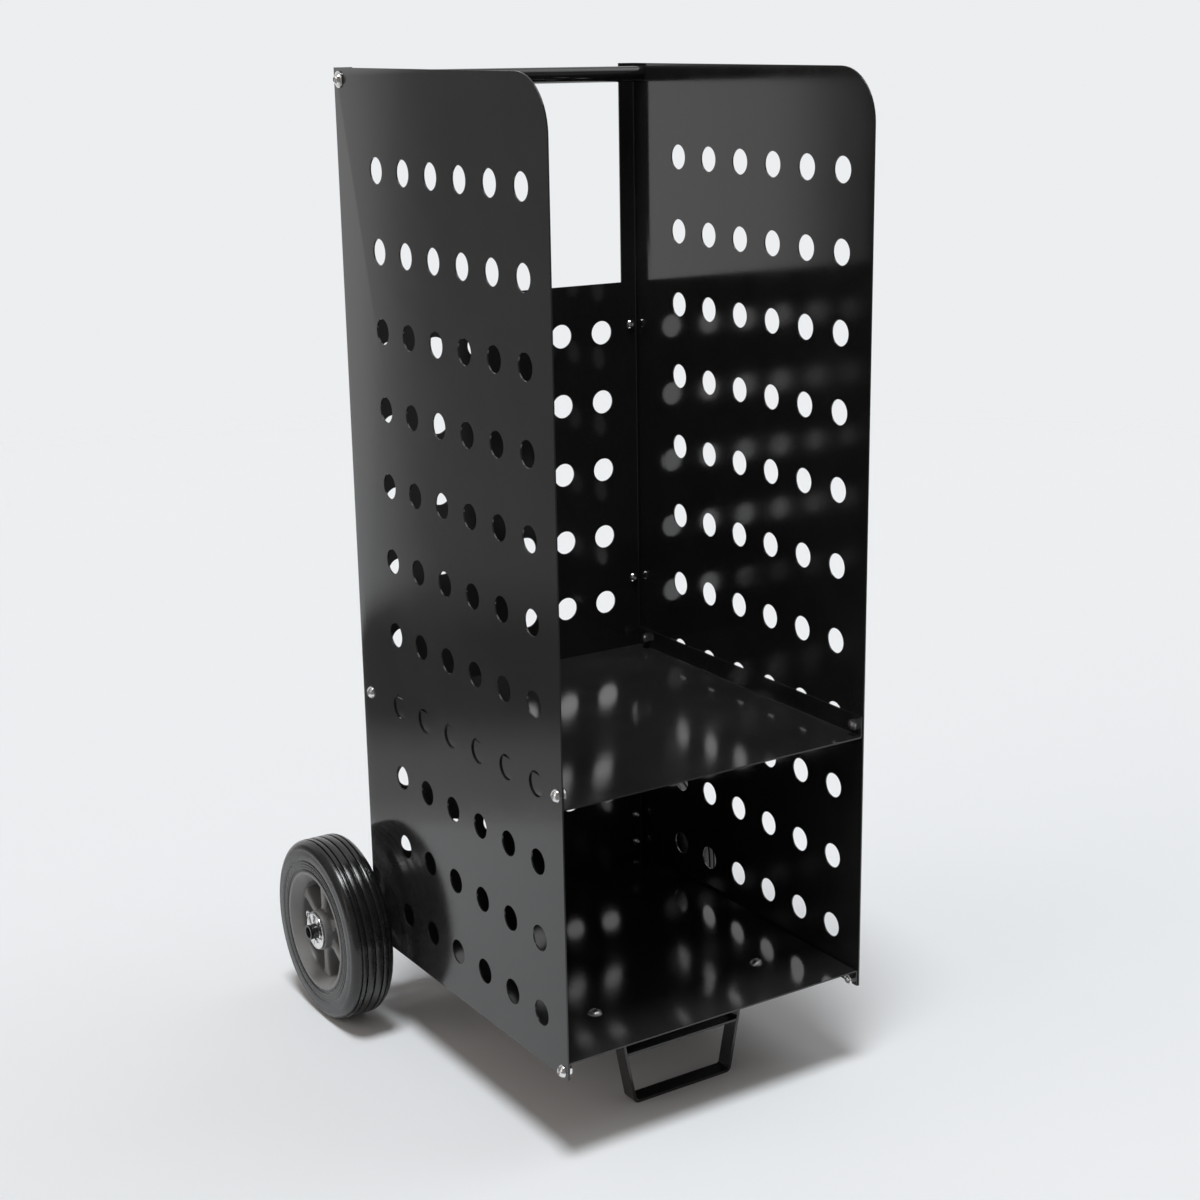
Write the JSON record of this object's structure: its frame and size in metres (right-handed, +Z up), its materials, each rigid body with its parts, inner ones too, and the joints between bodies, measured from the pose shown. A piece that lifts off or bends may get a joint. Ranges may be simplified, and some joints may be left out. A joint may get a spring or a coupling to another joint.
{
  "type": "fireside log cart",
  "caption": "Tall open-fronted firewood cart of perforated sheet steel, with two shelves, a tube handle, a bent flat-bar leg and wheels on one axle behind it.",
  "frame": {"origin": "on the floor, in the middle of the cart's footprint, wheels included", "axes": "+Z up; X across the cart, along the wheel axle; -Y is the open front where logs go in and +Y the side of the wheels"},
  "size_m": [0.4774, 0.519, 0.989],
  "materials": {
    "powder_coat": "black powder coat, satin gloss",
    "zinc": "bright zinc plate",
    "rubber": "dark grey rubber, slightly shiny",
    "rim_plastic": "dark grey moulded plastic, satin",
    "bush_plastic": "natural nylon"
  },
  "bodies": {
    "cart": {"side_panel_left": "powder_coat", "side_panel_right": "powder_coat", "back_panel": "powder_coat", "middle_shelf": "powder_coat", "bottom_shelf": "powder_coat", "handle_tube": "powder_coat", "handle_plugs": "zinc", "handle_bolts": "zinc", "handle_washers": "zinc", "middle_shelf_bolts": "zinc", "middle_shelf_nuts": "zinc", "bottom_shelf_bolts": "zinc", "bottom_shelf_nuts": "zinc", "back_panel_bolts": "zinc", "back_panel_nuts": "zinc", "front_leg": "powder_coat", "leg_rung": "powder_coat", "leg_bolts": "zinc", "leg_nuts": "zinc", "axle_bracket_left": "powder_coat", "axle_bracket_right": "powder_coat", "bracket_bolts": "zinc", "bracket_nuts": "zinc", "axle_tube": "powder_coat", "axle_spacers": "powder_coat", "inner_washers": "zinc", "outer_washers": "zinc", "split_pins": "zinc"},
    "left_wheel": {"left_tyre": "rubber", "left_rim": "rim_plastic", "left_bush": "bush_plastic"},
    "right_wheel": {"right_tyre": "rubber", "right_rim": "rim_plastic", "right_bush": "bush_plastic"}
  },
  "joints": [
    {"name": "left_wheel_spin", "type": "hinge", "parent": "cart", "child": "left_wheel", "pos_m": [-0.2075, 0.162, 0.0975], "axis": [1, 0, 0], "continuous": true},
    {"name": "right_wheel_spin", "type": "hinge", "parent": "cart", "child": "right_wheel", "pos_m": [0.2075, 0.162, 0.0975], "axis": [1, 0, 0], "continuous": true}
  ]
}
